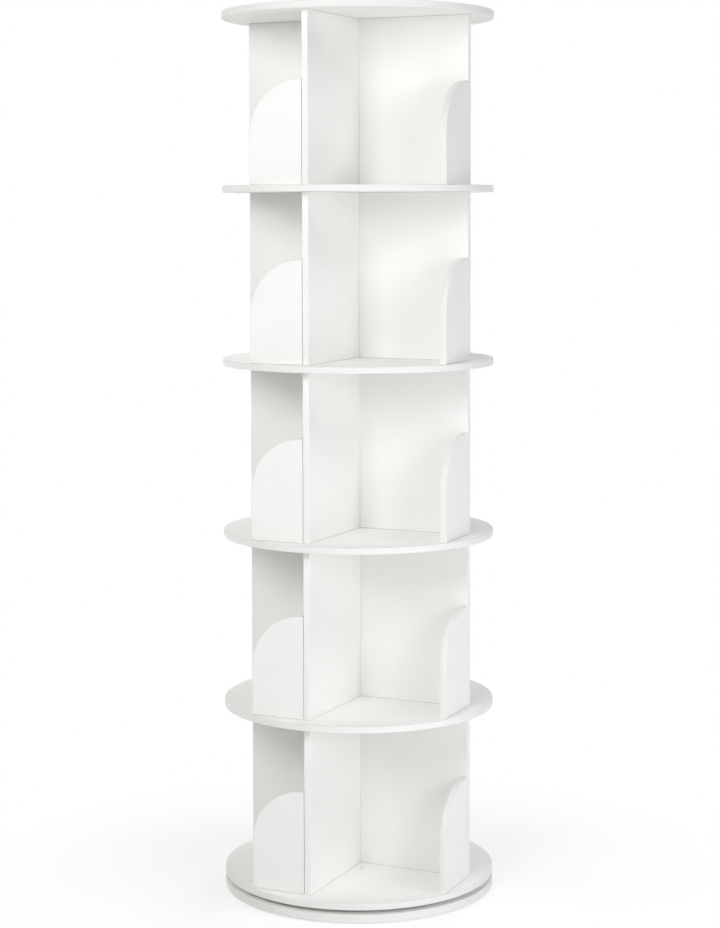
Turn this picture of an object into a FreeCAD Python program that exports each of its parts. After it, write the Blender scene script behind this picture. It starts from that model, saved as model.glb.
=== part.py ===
import FreeCAD, Part
import os

import Sketcher
from FreeCAD import Placement, Rotation, Vector

# Rotating media tower: five tiers of crossed boards between round shelves, turning as one piece
# on a flat ball bearing over a round base. Millimetres, +Z up, origin on the turning axis at the
# floor. The crossed boards lie along X and Y.

DIMENSIONS = {
    # Round boards
    "disc_diameter": 500,
    "disc_thickness": 12,
    "base_diameter": 500,
    "base_thickness": 15,
    "edge_round": 1,
    # Crossed boards
    "tier_count": 5,
    "board_height": 305,
    "board_thickness": 12,
    "board_rim_inset": 28.5,
    "board_edge_break": 0.4,
    "slot_clearance": 0.25,
    # Arched end stops
    "stop_thickness": 12,
    "stop_height": 186,
    "stop_flat": 4,
    "stop_rim_margin": 2.8,
    "stop_gap": 0.8,
    # Bearing
    "bearing_height": 8,
    "bearing_face_clearance": 0.7,
    "ball_row_diameter": 200,
    "ball_count": 24,
    "ball_cover": 1.5,
    "ball_clearance": 0.25,
    "track_depth": 1,
    "cage_race_clearance": 0.35,
    "cage_face_clearance": 0.5,
    "ring_width": 28,
    "skirt_width": 8,
    "web_thickness": 2,
    "web_bore_diameter": 50,
    "boss_diameter": 12,
    "boss_base_clearance": 1.5,
    # Screws
    "fastener_clearance": 0.1,
    "hole_end_clearance": 0.5,
    "screw_socket_width": 4,
    "screw_socket_depth": 1.5,
    "screw_tip_length": 2.5,
    "board_screw_diameter": 5,
    "board_screw_head_diameter": 10,
    "board_screw_head_height": 3,
    "board_screw_grip": 34,
    "board_screw_end_inset": 70,
    "cap_thickness": 1.5,
    "stop_screw_diameter": 4,
    "stop_screw_head_diameter": 8,
    "stop_screw_head_height": 2.5,
    "stop_screw_grip": 24,
    "stop_screw_end_inset": 25,
    "ring_screw_count": 8,
    "ring_screw_diameter": 4,
    "ring_screw_head_diameter": 8,
    "ring_screw_head_height": 2.5,
    "ring_screw_skin": 5,
    "shelf_screw_count": 4,
    "shelf_screw_diameter": 5,
    "shelf_screw_head_diameter": 9,
    "shelf_screw_head_height": 2.5,
    "shelf_screw_circle_diameter": 96.6,
    "shelf_screw_angle": 31.2,
    "shelf_screw_end_clearance": 0.5,
    # Dowels
    "board_dowel_wall": 2,
    "board_dowel_grip": 16,
    "top_dowel_skin": 4,
    "stop_dowel_wall": 3,
    "stop_dowel_grip": 20,
    "stop_dowel_skin": 4,
    "stop_dowel_drop": 66,
    # Pads under the base
    "pad_count": 8,
    "pad_diameter": 30,
    "pad_thickness": 2,
    "pad_rim_inset": 35,
}

DERIVED = {
    # Levels along the axis
    "base_top": "=Dimensions.pad_thickness + Dimensions.base_thickness",
    "bearing_top": "=base_top + Dimensions.bearing_height",
    "first_floor": "=bearing_top + Dimensions.disc_thickness",
    "tier_pitch": "=Dimensions.board_height + Dimensions.disc_thickness",
    # Plan of the boards and stops
    "disc_radius": "=Dimensions.disc_diameter / 2",
    "board_reach": "=disc_radius - Dimensions.board_rim_inset",
    "board_face": "=Dimensions.board_thickness / 2",
    "slot_half": "=board_face + Dimensions.slot_clearance",
    "slot_low": "=Dimensions.board_height / 2 - Dimensions.slot_clearance",
    "slot_high": "=Dimensions.board_height / 2 + Dimensions.slot_clearance",
    "stop_back": "=board_reach - Dimensions.stop_thickness",
    "stop_middle": "=board_reach - Dimensions.stop_thickness / 2",
    "stop_near": "=board_face + Dimensions.stop_gap",
    "stop_far": "=sqrt((disc_radius - Dimensions.stop_rim_margin)^2 - board_reach^2)",
    "stop_arc_radius": "=stop_far - stop_near - Dimensions.stop_flat",
    # Bearing
    "ball_row_radius": "=Dimensions.ball_row_diameter / 2",
    "ball_radius": "=Dimensions.bearing_height / 2 - Dimensions.ball_cover",
    "ball_level": "=Dimensions.bearing_height / 2",
    "track_diameter": "=2 * (ball_radius + Dimensions.ball_clearance)",
    "race_offset": "=ball_radius - Dimensions.track_depth",
    "ring_inner": "=ball_row_radius + race_offset",
    "ring_outer": "=ring_inner + Dimensions.ring_width",
    "ring_top": "=Dimensions.bearing_height - Dimensions.bearing_face_clearance",
    "skirt_outer": "=ball_row_radius - race_offset",
    "skirt_inner": "=skirt_outer - Dimensions.skirt_width",
    "web_bottom": "=Dimensions.bearing_height - Dimensions.web_thickness",
    "web_inner": "=Dimensions.web_bore_diameter / 2",
    "cage_inner": "=skirt_outer + Dimensions.cage_race_clearance",
    "cage_outer": "=ring_inner - Dimensions.cage_race_clearance",
    "cage_top": "=Dimensions.bearing_height - Dimensions.cage_face_clearance",
    "boss_height": "=web_bottom - Dimensions.boss_base_clearance",
    # Screws along their axes, each from the level of the board that takes its head
    "board_screw_place": "=board_reach - Dimensions.board_screw_end_inset",
    "board_screw_sink": "=Dimensions.cap_thickness + Dimensions.board_screw_head_height",
    "board_screw_seat": "=Dimensions.disc_thickness - board_screw_sink",
    "board_screw_length": "=board_screw_seat + Dimensions.board_screw_grip",
    "board_screw_hole": "=Dimensions.board_screw_diameter + 2 * Dimensions.fastener_clearance",
    "board_head_hole": "=Dimensions.board_screw_head_diameter + 2 * Dimensions.fastener_clearance",
    "stop_screw_near": "=stop_near + Dimensions.stop_screw_end_inset",
    "stop_screw_far": "=stop_far - Dimensions.stop_screw_end_inset",
    "stop_screw_sink": "=Dimensions.stop_screw_head_height",
    "stop_screw_length": "=Dimensions.disc_thickness - stop_screw_sink + Dimensions.stop_screw_grip",
    "stop_screw_hole": "=Dimensions.stop_screw_diameter + 2 * Dimensions.fastener_clearance",
    "stop_head_hole": "=Dimensions.stop_screw_head_diameter + 2 * Dimensions.fastener_clearance",
    "ring_screw_place": "=(ring_inner + ring_outer) / 2",
    "ring_screw_seat": "=ring_top - Dimensions.ring_screw_head_height",
    "ring_screw_grip": "=Dimensions.base_thickness - Dimensions.ring_screw_skin",
    "ring_screw_length": "=ring_screw_seat + ring_screw_grip",
    "ring_screw_hole": "=Dimensions.ring_screw_diameter + 2 * Dimensions.fastener_clearance",
    "ring_head_hole": "=Dimensions.ring_screw_head_diameter + 2 * Dimensions.fastener_clearance",
    "shelf_screw_place": "=Dimensions.shelf_screw_circle_diameter / 2",
    "shelf_screw_hole": "=Dimensions.shelf_screw_diameter + 2 * Dimensions.fastener_clearance",
    "thread_length": "=Dimensions.web_thickness + boss_height - Dimensions.shelf_screw_end_clearance",
    "shelf_screw_length": "=Dimensions.disc_thickness + thread_length",
    # Dowels
    "board_dowel_place": "=(slot_half + board_screw_place) / 2",
    "board_dowel_diameter": "=Dimensions.board_thickness - 2 * Dimensions.board_dowel_wall",
    "board_dowel_hole": "=board_dowel_diameter + 2 * Dimensions.fastener_clearance",
    "board_dowel_drill": "=Dimensions.board_dowel_grip + Dimensions.hole_end_clearance",
    "top_dowel_depth": "=Dimensions.disc_thickness - Dimensions.top_dowel_skin",
    "stop_dowel_diameter": "=Dimensions.stop_thickness - 2 * Dimensions.stop_dowel_wall",
    "stop_dowel_hole": "=stop_dowel_diameter + 2 * Dimensions.fastener_clearance",
    "stop_dowel_rise": "=Dimensions.stop_height - Dimensions.stop_dowel_drop",
    "stop_dowel_seat": "=Dimensions.board_thickness - Dimensions.stop_dowel_skin",
    "stop_dowel_inner": "=board_face - stop_dowel_seat + Dimensions.hole_end_clearance",
    # Pads
    "pad_place": "=Dimensions.base_diameter / 2 - Dimensions.pad_rim_inset",
}

ARM_COUNT = 4
BOARD_ENDS = 2
STOP_SCREWS = 2
HEX_SIDES = 6
EDGE_TOLERANCE = 1e-4

doc = FreeCAD.newDocument("media_tower")


def fill_sheet(name, cells):
    """Sheet with one aliased cell for each entry."""
    sheet = doc.addObject("Spreadsheet::Sheet", name)
    for row, (alias, content) in enumerate(cells.items(), start=1):
        sheet.set(f"A{row}", alias)
        sheet.set(f"B{row}", str(content))
        sheet.setAlias(f"B{row}", alias)
    doc.recompute()
    return sheet


fill_sheet("Dimensions", DIMENSIONS)
derived = fill_sheet("Derived", DERIVED)
sub_parts = []


def value(expression):
    """Number that an expression gives."""
    return float(derived.evalExpression(expression))


def count(name):
    """Whole number held by a cell."""
    return int(round(value(f"Dimensions.{name}")))


def new_body(label, level="0", turn=0):
    """Sub-part at a level on the axis, turned about it by an angle in degrees."""
    body = doc.addObject("PartDesign::Body", label)
    body.Label = label
    body.Placement = Placement(Vector(), Rotation(Vector(0, 0, 1), turn))
    body.setExpression("Placement.Base.z", level)
    sub_parts.append(body)
    return body


def origin_feature(body, role):
    """Plane or axis of the body's own origin."""
    return next(item for item in body.Origin.OriginFeatures if item.Role == role)


def sketch_on(body, role, name, offset="0"):
    """Empty sketch on an origin plane, moved along its normal."""
    sketch = body.newObject("Sketcher::SketchObject", name)
    sketch.AttachmentSupport = (origin_feature(body, role), [""])
    sketch.MapMode = "FlatFace"
    sketch.setExpression("AttachmentOffset.Base.z", offset)
    return sketch


def tie_point(sketch, geometry, position, spot):
    """Hold a sketch point at a spot given as two expressions."""
    for kind, text in zip(("DistanceX", "DistanceY"), spot):
        constraint = Sketcher.Constraint(kind, -1, 1, geometry, position, value(text))
        index = sketch.addConstraint(constraint)
        sketch.setExpression(f"Constraints[{index}]", text)


def corner(spot):
    """Start position of a sketch point."""
    return Vector(value(spot[0]), value(spot[1]), 0)


def add_circle(sketch, spot, diameter):
    """Circle with its centre and diameter tied to expressions."""
    shape = Part.Circle(corner(spot), Vector(0, 0, 1), value(diameter) / 2)
    circle = sketch.addGeometry(shape, False)
    tie_point(sketch, circle, 3, spot)
    index = sketch.addConstraint(Sketcher.Constraint("Diameter", circle, value(diameter)))
    sketch.setExpression(f"Constraints[{index}]", diameter)


def add_chain(sketch, spots):
    """Straight lines through spots, in order, each start tied to expressions."""
    lines = []
    for start, end in zip(spots, spots[1:]):
        lines.append(sketch.addGeometry(Part.LineSegment(corner(start), corner(end)), False))
    for line, following in zip(lines, lines[1:]):
        sketch.addConstraint(Sketcher.Constraint("Coincident", line, 2, following, 1))
    for line, spot in zip(lines, spots):
        tie_point(sketch, line, 1, spot)
    return lines


def add_outline(sketch, spots):
    """Closed outline of straight lines."""
    lines = add_chain(sketch, spots + spots[:1])
    sketch.addConstraint(Sketcher.Constraint("Coincident", lines[-1], 2, lines[0], 1))


def add_axis(sketch, start, end):
    """Construction line for turning a profile."""
    line = sketch.addGeometry(Part.LineSegment(corner(start), corner(end)), True)
    tie_point(sketch, line, 1, start)
    tie_point(sketch, line, 2, end)


def pad(body, sketch, name, length, both_ways=False):
    """Solid raised from a sketch, one way or evenly both ways."""
    feature = body.newObject("PartDesign::Pad", name)
    feature.Profile = sketch
    feature.SideType = "Symmetric" if both_ways else "One side"
    feature.setExpression("Length", length)
    return feature


def cut(body, sketch, name, depth, along_normal):
    """Pocket from a sketch, along its normal or against it."""
    feature = body.newObject("PartDesign::Pocket", name)
    feature.Profile = sketch
    feature.Reversed = along_normal
    feature.setExpression("Length", depth)
    return feature


def repeat_round(body, feature, copies):
    """Feature repeated evenly round the body's Z axis."""
    pattern = body.newObject("PartDesign::PolarPattern", f"{feature.Name}_round")
    pattern.Originals = [feature]
    pattern.Axis = (origin_feature(body, "Z_Axis"), [""])
    pattern.Angle = 360
    pattern.Occurrences = copies
    body.Tip = pattern


def drill(body, name, spots, diameter, start, depth, copies):
    """Upright holes that go up from a level, repeated round the axis."""
    sketch = sketch_on(body, "XY_Plane", f"{name}_sketch", start)
    for spot in spots:
        add_circle(sketch, spot, diameter)
    holes = cut(body, sketch, name, depth, True)
    if copies > 1:
        repeat_round(body, holes, copies)


def turned(body, name, spots):
    """Solid of revolution about the body's Z axis."""
    sketch = sketch_on(body, "XZ_Plane", f"{name}_profile")
    add_outline(sketch, spots)
    feature = body.newObject("PartDesign::Revolution", name)
    feature.Profile = sketch
    feature.ReferenceAxis = (sketch, ["V_Axis"])
    feature.Angle = 360


def dress_edges(body, kind, name, wanted, size_property, size_expression):
    """Fillet or chamfer on the edges of the tip that a test picks."""
    doc.recompute()
    base = body.Tip
    names = [f"Edge{i}" for i, edge in enumerate(base.Shape.Edges, start=1) if wanted(edge)]
    feature = body.newObject(kind, name)
    feature.Base = (base, names)
    feature.setExpression(size_property, size_expression)


def level_edge(edge, axis, position):
    """True where the whole edge has one coordinate at a position."""
    low = getattr(edge.BoundBox, f"{axis}Min")
    high = getattr(edge.BoundBox, f"{axis}Max")
    return abs(low - position) < EDGE_TOLERANCE and abs(high - position) < EDGE_TOLERANCE


def round_rim(body, diameter):
    """Rounded upper and lower edge of a round board."""
    radius = value(diameter) / 2

    def is_rim(edge):
        if not isinstance(edge.Curve, Part.Circle):
            return False
        return abs(edge.Curve.Radius - radius) < EDGE_TOLERANCE

    dress_edges(body, "PartDesign::Fillet", "rim_round", is_rim, "Radius", "Dimensions.edge_round")


def round_board(label, level, diameter, thickness):
    """Plain round board with a softened rim, its underside at a level."""
    body = new_body(label, level)
    sketch = sketch_on(body, "XY_Plane", "outline")
    add_circle(sketch, ("0", "0"), diameter)
    pad(body, sketch, "board", thickness)
    round_rim(body, diameter)
    return body


def make_base():
    """Base board with pilot holes for the screws of the lower bearing ring."""
    body = round_board("base_disc", "Dimensions.pad_thickness",
                       "Dimensions.base_diameter", "Dimensions.base_thickness")
    depth = "Derived.ring_screw_grip + Dimensions.hole_end_clearance"
    drill(body, "ring_screw_pilot", [("Derived.ring_screw_place", "0")], "Derived.ring_screw_hole",
          f"Dimensions.base_thickness - ({depth})", depth, count("ring_screw_count"))


def make_pads():
    """Round pads stuck under the base."""
    body = new_body("foot_pads")
    sketch = sketch_on(body, "XY_Plane", "outline")
    add_circle(sketch, ("Derived.pad_place", "0"), "Dimensions.pad_diameter")
    feature = pad(body, sketch, "pad", "Dimensions.pad_thickness")
    repeat_round(body, feature, count("pad_count"))


def cut_track(body):
    """Ball track turned into a bearing ring."""
    sketch = sketch_on(body, "XZ_Plane", "track_profile")
    add_circle(sketch, ("Derived.ball_row_radius", "Derived.ball_level"), "Derived.track_diameter")
    track = body.newObject("PartDesign::Groove", "track")
    track.Profile = sketch
    track.ReferenceAxis = (sketch, ["V_Axis"])
    track.Angle = 360


def make_lower_ring():
    """Bearing ring that is screwed to the base."""
    body = new_body("bearing_lower_ring", "Derived.base_top")
    turned(body, "ring", [("Derived.ring_inner", "0"),
                          ("Derived.ring_outer", "0"),
                          ("Derived.ring_outer", "Derived.ring_top"),
                          ("Derived.ring_inner", "Derived.ring_top")])
    cut_track(body)
    spots = [("Derived.ring_screw_place", "0")]
    copies = count("ring_screw_count")
    drill(body, "screw_hole", spots, "Derived.ring_screw_hole", "0", "Derived.ring_top", copies)
    drill(body, "head_hole", spots, "Derived.ring_head_hole", "Derived.ring_screw_seat",
          "Dimensions.ring_screw_head_height", copies)


def shelf_screw_spot():
    """Place of the first screw between the lowest shelf and the bearing."""
    angle = "Dimensions.shelf_screw_angle"
    return (f"Derived.shelf_screw_place * cos({angle})", f"Derived.shelf_screw_place * sin({angle})")


def make_upper_plate():
    """Turning bearing plate: a flat web with threaded bosses and a skirt with the ball track."""
    body = new_body("bearing_upper_plate", "Derived.base_top")
    turned(body, "plate", [("Derived.web_inner", "Derived.web_bottom"),
                           ("Derived.skirt_inner", "Derived.web_bottom"),
                           ("Derived.skirt_inner", "Dimensions.bearing_face_clearance"),
                           ("Derived.skirt_outer", "Dimensions.bearing_face_clearance"),
                           ("Derived.skirt_outer", "Dimensions.bearing_height"),
                           ("Derived.web_inner", "Dimensions.bearing_height")])
    cut_track(body)
    copies = count("shelf_screw_count")
    sketch = sketch_on(body, "XY_Plane", "boss_outline", "Dimensions.boss_base_clearance")
    add_circle(sketch, shelf_screw_spot(), "Dimensions.boss_diameter")
    repeat_round(body, pad(body, sketch, "boss", "Derived.boss_height"), copies)
    drill(body, "thread_hole", [shelf_screw_spot()], "Derived.shelf_screw_hole",
          "Dimensions.boss_base_clearance", "Derived.boss_height + Dimensions.web_thickness", copies)


def make_balls():
    """Row of steel balls."""
    body = new_body("bearing_balls", "Derived.base_top")
    ball = body.newObject("PartDesign::AdditiveSphere", "ball")
    ball.AttachmentSupport = (origin_feature(body, "XY_Plane"), [""])
    ball.MapMode = "FlatFace"
    ball.setExpression("Radius", "Derived.ball_radius")
    ball.setExpression("AttachmentOffset.Base.x", "Derived.ball_row_radius")
    ball.setExpression("AttachmentOffset.Base.z", "Derived.ball_level")
    repeat_round(body, ball, count("ball_count"))


def make_cage():
    """Thin ring that keeps the balls apart, with a round pocket for each."""
    body = new_body("bearing_cage", "Derived.base_top")
    turned(body, "band", [("Derived.cage_inner", "Dimensions.cage_face_clearance"),
                          ("Derived.cage_outer", "Dimensions.cage_face_clearance"),
                          ("Derived.cage_outer", "Derived.cage_top"),
                          ("Derived.cage_inner", "Derived.cage_top")])
    sketch = sketch_on(body, "YZ_Plane", "pocket_outline")
    add_circle(sketch, ("0", "Derived.ball_level"), "Derived.track_diameter")
    pocket = cut(body, sketch, "ball_pocket", "Derived.ring_outer", True)
    repeat_round(body, pocket, count("ball_count"))


def shelf_level(index):
    """Level of a round shelf's underside, counted from the lowest."""
    return f"Derived.bearing_top + {index} * Derived.tier_pitch"


def floor_level(tier):
    """Level of the floor that a tier stands on, counted from the lowest."""
    return f"Derived.first_floor + {tier} * Derived.tier_pitch"


def stop_screw_spots():
    """Places of the two screws under the stop at the +X end."""
    return [("Derived.stop_middle", "-Derived.stop_screw_near"),
            ("Derived.stop_middle", "-Derived.stop_screw_far")]


def make_shelf(index, tiers):
    """Round shelf, drilled for what stands on it and for what it stands on."""
    lowest = index == 0
    topmost = index == tiers
    label = "top_board" if topmost else f"shelf_{index + 1}"
    body = round_board(label, shelf_level(index), "Dimensions.disc_diameter",
                       "Dimensions.disc_thickness")
    screws = [("Derived.board_screw_place", "0")]
    dowels = [("Derived.board_dowel_place", "0")]
    head_start = "0" if lowest else "Derived.board_screw_seat"
    dowel_depth = "Derived.top_dowel_depth" if topmost else "Dimensions.disc_thickness"
    drill(body, "board_screw_hole", screws, "Derived.board_screw_hole", "0",
          "Dimensions.disc_thickness", ARM_COUNT)
    drill(body, "board_head_hole", screws, "Derived.board_head_hole", head_start,
          "Derived.board_screw_sink", ARM_COUNT)
    drill(body, "dowel_hole", dowels, "Derived.board_dowel_hole", "0", dowel_depth, ARM_COUNT)
    if not topmost:
        drill(body, "stop_screw_hole", stop_screw_spots(), "Derived.stop_screw_hole", "0",
              "Dimensions.disc_thickness", ARM_COUNT)
        drill(body, "stop_head_hole", stop_screw_spots(), "Derived.stop_head_hole", "0",
              "Derived.stop_screw_sink", ARM_COUNT)
    if lowest:
        drill(body, "bearing_screw_hole", [shelf_screw_spot()], "Derived.shelf_screw_hole", "0",
              "Dimensions.disc_thickness", count("shelf_screw_count"))


def board_outline(slot_opens_up):
    """Side view of a crossed board, with its halving slot."""
    reach = "Derived.board_reach"
    top = "Dimensions.board_height"
    half = "Derived.slot_half"
    if slot_opens_up:
        low = "Derived.slot_low"
        return [(f"-{reach}", "0"), (reach, "0"), (reach, top), (half, top), (half, low),
                (f"-{half}", low), (f"-{half}", top), (f"-{reach}", top)]
    high = "Derived.slot_high"
    return [(f"-{reach}", "0"), (f"-{half}", "0"), (f"-{half}", high), (half, high), (half, "0"),
            (reach, "0"), (reach, top), (f"-{reach}", top)]


def make_cross_board(tier, slot_opens_up):
    """Crossed board of one tier: the lower one lies along Y, the upper one along X."""
    name = "lower" if slot_opens_up else "upper"
    turn = 90 if slot_opens_up else 0
    body = new_body(f"tier_{tier + 1}_{name}_cross_board", floor_level(tier), turn)
    sketch = sketch_on(body, "XZ_Plane", "outline")
    add_outline(sketch, board_outline(slot_opens_up))
    pad(body, sketch, "board", "Dimensions.board_thickness", True)
    reach = value("Derived.board_reach")
    height = value("Dimensions.board_height")

    def is_end_corner(edge):
        at_end = level_edge(edge, "X", reach) or level_edge(edge, "X", -reach)
        return at_end and edge.BoundBox.YLength < EDGE_TOLERANCE

    def is_bearing_edge(edge):
        lies_flat = level_edge(edge, "Z", 0) or level_edge(edge, "Z", height)
        return lies_flat and edge.BoundBox.XLength > 2 * value("Dimensions.edge_round")

    dress_edges(body, "PartDesign::Fillet", "end_round", is_end_corner,
                "Radius", "Dimensions.edge_round")
    dress_edges(body, "PartDesign::Chamfer", "edge_break", is_bearing_edge,
                "Size", "Dimensions.board_edge_break")
    dowels = [("Derived.board_dowel_place", "0")]
    screws = [("Derived.board_screw_place", "0")]
    screw_depth = "(Dimensions.board_screw_grip + Dimensions.hole_end_clearance)"
    drill(body, "lower_dowel_hole", dowels, "Derived.board_dowel_hole", "0",
          "Derived.board_dowel_drill", BOARD_ENDS)
    drill(body, "upper_dowel_hole", dowels, "Derived.board_dowel_hole",
          "Dimensions.board_height - Derived.board_dowel_drill", "Derived.board_dowel_drill",
          BOARD_ENDS)
    drill(body, "upper_screw_hole", screws, "Derived.board_screw_hole",
          f"Dimensions.board_height - {screw_depth}", screw_depth, BOARD_ENDS)
    if tier == 0:
        drill(body, "lower_screw_hole", screws, "Derived.board_screw_hole", "0", screw_depth,
              BOARD_ENDS)
    sketch = sketch_on(body, "XZ_Plane", "stop_dowel_sketch", "Derived.board_face")
    add_circle(sketch, ("Derived.stop_middle", "Derived.stop_dowel_rise"),
               "Derived.stop_dowel_hole")
    hole = cut(body, sketch, "stop_dowel_hole", "Derived.stop_dowel_seat", False)
    repeat_round(body, hole, BOARD_ENDS)


def make_stop(tier, arm):
    """Arched stop at the end of one arm, square to the board and clockwise of it."""
    body = new_body(f"tier_{tier + 1}_end_stop_{arm + 1}", floor_level(tier), 90 * arm)
    near = "-Derived.stop_near"
    far = "-Derived.stop_far"
    top = "Dimensions.stop_height"
    radius = "Derived.stop_arc_radius"
    shoulder = (far, f"{top} - {radius}")
    crown = (f"{far} + {radius}", top)
    sketch = sketch_on(body, "YZ_Plane", "outline", "Derived.stop_back")
    side = add_chain(sketch, [crown, (near, top), (near, "0"), (far, "0"), shoulder])
    centre = corner((crown[0], shoulder[1]))
    middle = centre + Vector(-1, 1, 0).normalize() * value(radius)
    arc = sketch.addGeometry(Part.Arc(corner(crown), middle, corner(shoulder)), False)
    sketch.addConstraint(Sketcher.Constraint("Coincident", arc, 1, side[0], 1))
    sketch.addConstraint(Sketcher.Constraint("Coincident", arc, 2, side[-1], 2))
    tie_point(sketch, side[-1], 2, shoulder)
    index = sketch.addConstraint(Sketcher.Constraint("Radius", arc, value(radius)))
    sketch.setExpression(f"Constraints[{index}]", radius)
    pad(body, sketch, "panel", "Dimensions.stop_thickness")
    back = value("Derived.stop_back")
    front = value("Derived.board_reach")
    inner = value(near)

    def is_free_edge(edge):
        on_face = level_edge(edge, "X", back) or level_edge(edge, "X", front)
        return on_face and not level_edge(edge, "Y", inner) and not level_edge(edge, "Z", 0)

    dress_edges(body, "PartDesign::Fillet", "edge_round", is_free_edge,
                "Radius", "Dimensions.edge_round")
    drill(body, "screw_hole", stop_screw_spots(), "Derived.stop_screw_hole", "0",
          "Dimensions.stop_screw_grip + Dimensions.hole_end_clearance", 1)
    sketch = sketch_on(body, "XZ_Plane", "dowel_sketch", "Derived.stop_near")
    add_circle(sketch, ("Derived.stop_middle", "Derived.stop_dowel_rise"),
               "Derived.stop_dowel_hole")
    depth = "Dimensions.stop_dowel_grip + Dimensions.hole_end_clearance"
    cut(body, sketch, "dowel_hole", depth, True)


def repeat_all(body, copies_round, levels, step, row=None):
    """Whole sub-part repeated along Y, round the axis and up through the tiers."""
    doc.recompute()
    everything = body.newObject("PartDesign::MultiTransform", f"{body.Name}_all")
    everything.TransformMode = "Whole shape"
    patterns = []
    if row:
        across = body.newObject("PartDesign::LinearPattern", f"{body.Name}_across")
        across.Direction = (origin_feature(body, "Y_Axis"), [""])
        across.Reversed = True
        across.Occurrences = row[0]
        across.setExpression("Length", row[1])
        patterns.append(across)
    ring = body.newObject("PartDesign::PolarPattern", f"{body.Name}_ring")
    ring.Axis = (origin_feature(body, "Z_Axis"), [""])
    ring.Angle = 360
    ring.Occurrences = copies_round
    patterns.append(ring)
    if levels > 1:
        stack = body.newObject("PartDesign::LinearPattern", f"{body.Name}_stack")
        stack.Direction = (origin_feature(body, "Z_Axis"), [""])
        stack.Occurrences = levels
        stack.setExpression("Length", f"{step} * {levels - 1}")
        patterns.append(stack)
    everything.Transformations = patterns
    body.Tip = everything


def turned_screw(label, level, spot, seat, size, length, points_up):
    """Screw with a flat round head and a hexagon socket, its head's underside at a seat level."""
    body = new_body(label, level)
    place_x, place_y = spot
    sign = "+" if points_up else "-"
    back = "-" if points_up else "+"
    head_diameter = f"Dimensions.{size}_head_diameter"
    head_top = f"{seat} {back} Dimensions.{size}_head_height"
    head_edge = f"{place_x} + {head_diameter} / 2"
    shank_edge = f"{place_x} + Dimensions.{size}_diameter / 2"
    tip = f"{seat} {sign} {length}"
    shoulder = f"{tip} {back} Dimensions.screw_tip_length"
    sketch = sketch_on(body, "XZ_Plane", "profile", f"-({place_y})")
    add_outline(sketch, [(place_x, head_top), (head_edge, head_top), (head_edge, seat),
                         (shank_edge, seat), (shank_edge, shoulder), (place_x, tip)])
    add_axis(sketch, (place_x, head_top), (place_x, tip))
    screw = body.newObject("PartDesign::Revolution", "screw")
    screw.Profile = sketch
    screw.ReferenceAxis = (sketch, ["Axis0"])
    screw.Angle = 360
    socket = sketch_on(body, "XY_Plane", "socket_outline", head_top)
    across = "Dimensions.screw_socket_width / sqrt(3)"
    corners = []
    for side in range(HEX_SIDES):
        angle = 360 / HEX_SIDES * side
        corners.append((f"{place_x} + {across} * cos({angle})",
                        f"{place_y} + {across} * sin({angle})"))
    add_outline(socket, corners)
    cut(body, socket, "socket", "Dimensions.screw_socket_depth", points_up)
    return body


def make_bearing_screws():
    """Screws from the lower ring into the base, and from the lowest shelf into the upper plate."""
    body = turned_screw("bearing_ring_screws", "Derived.base_top", ("Derived.ring_screw_place", "0"),
                        "Derived.ring_screw_seat", "ring_screw", "Derived.ring_screw_length", False)
    repeat_all(body, count("ring_screw_count"), 1, "0")
    body = turned_screw("bearing_shelf_screws", "Derived.first_floor", shelf_screw_spot(), "0",
                        "shelf_screw", "Derived.shelf_screw_length", False)
    repeat_all(body, count("shelf_screw_count"), 1, "0")


def make_board_screws(tiers):
    """Screws down into every tier's boards, screws up into the first tier, caps in the top."""
    spot = ("Derived.board_screw_place", "0")
    body = turned_screw("board_screws", shelf_level(1), spot, "Derived.board_screw_seat",
                        "board_screw", "Derived.board_screw_length", False)
    repeat_all(body, ARM_COUNT, tiers, "Derived.tier_pitch")
    body = turned_screw("bottom_board_screws", shelf_level(0), spot, "Derived.board_screw_sink",
                        "board_screw", "Derived.board_screw_length", True)
    repeat_all(body, ARM_COUNT, 1, "0")
    body = new_body("screw_caps", shelf_level(tiers))
    sketch = sketch_on(body, "XY_Plane", "outline",
                       "Dimensions.disc_thickness - Dimensions.cap_thickness")
    add_circle(sketch, spot, "Dimensions.board_screw_head_diameter")
    repeat_round(body, pad(body, sketch, "cap", "Dimensions.cap_thickness"), ARM_COUNT)


def make_stop_screws(tiers):
    """Two screws up through the shelf into each stop."""
    body = turned_screw("stop_screws", shelf_level(0), stop_screw_spots()[0],
                        "Derived.stop_screw_sink", "stop_screw", "Derived.stop_screw_length", True)
    spacing = "Derived.stop_screw_far - Derived.stop_screw_near"
    repeat_all(body, ARM_COUNT, tiers, "Derived.tier_pitch", (STOP_SCREWS, spacing))


def upright_dowels(label, level, start, length, levels):
    """Dowels between a shelf and the crossed boards, one on each arm."""
    body = new_body(label, level)
    sketch = sketch_on(body, "XY_Plane", "outline", start)
    add_circle(sketch, ("Derived.board_dowel_place", "0"), "Derived.board_dowel_diameter")
    pad(body, sketch, "dowel", length)
    repeat_all(body, ARM_COUNT, levels, "Derived.tier_pitch")


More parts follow.
